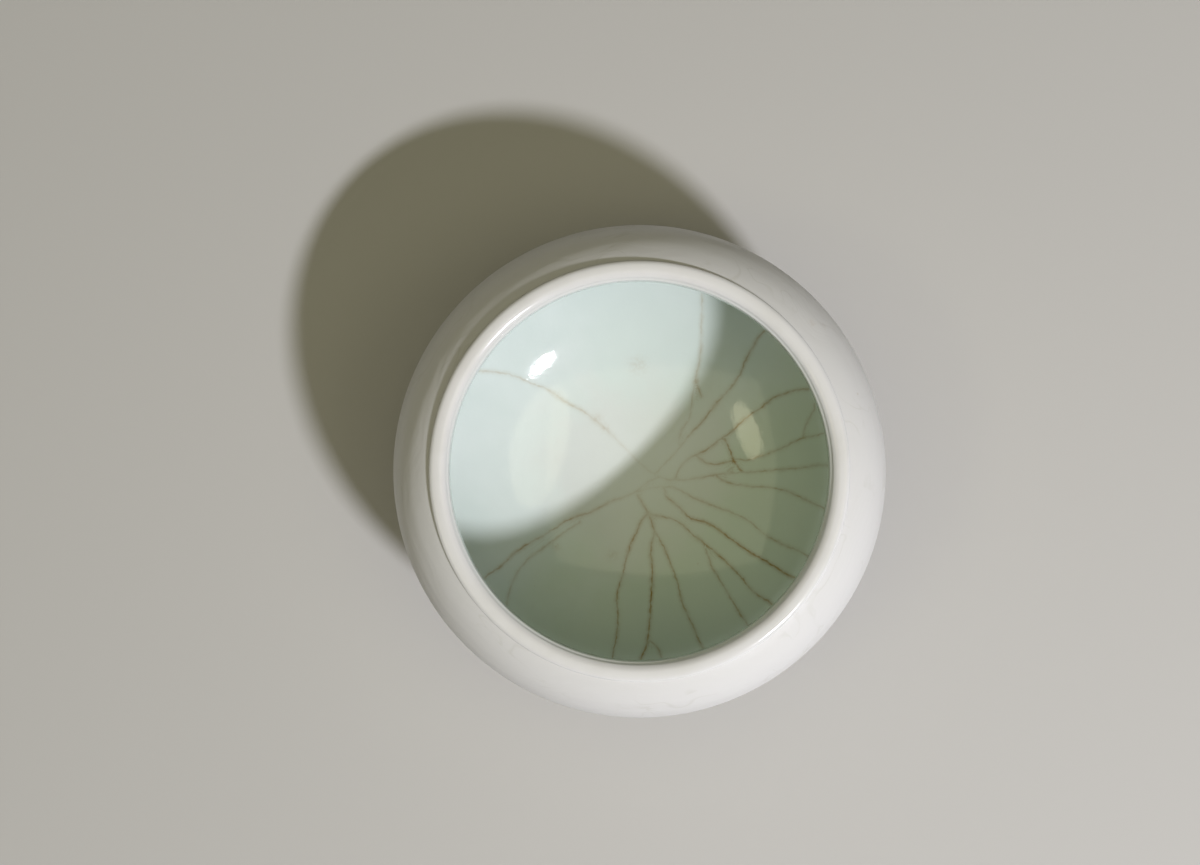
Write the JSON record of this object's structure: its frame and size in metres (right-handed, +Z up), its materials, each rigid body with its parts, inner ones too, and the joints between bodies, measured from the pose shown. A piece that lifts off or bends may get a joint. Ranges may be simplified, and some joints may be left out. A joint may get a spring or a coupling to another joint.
{
  "type": "brush washer",
  "caption": "Low round porcelain bowl for rinsing brushes: full belly, drawn-in shoulder, short rolled lip, crackled celadon inside and a turned foot.",
  "frame": {"origin": "on the table, under the bowl's axis, at the centre of the foot ring's rest face", "axes": "+Z up along the bowl's axis; +X to the right in the picture and +Y to its top"},
  "size_m": [0.124, 0.124, 0.058],
  "materials": {
    "biscuit_foot": "bare fired clay, matt",
    "porcelain_clay": "fired clay under the glaze",
    "base_glaze": "thin pale gloss glaze",
    "white_glaze": "white satin glaze with faint grey veins",
    "lip_glaze": "white gloss glaze",
    "celadon_glaze": "pale celadon gloss glaze with a brown-stained crackle"
  },
  "bodies": {
    "root": {"foot_ring": "biscuit_foot", "lower_body": "porcelain_clay", "shoulder": "porcelain_clay", "lip_ring": "porcelain_clay", "base_glaze": "base_glaze", "exterior_glaze": "white_glaze", "lip_glaze": "lip_glaze", "interior_glaze": "celadon_glaze"}
  },
  "joints": []
}
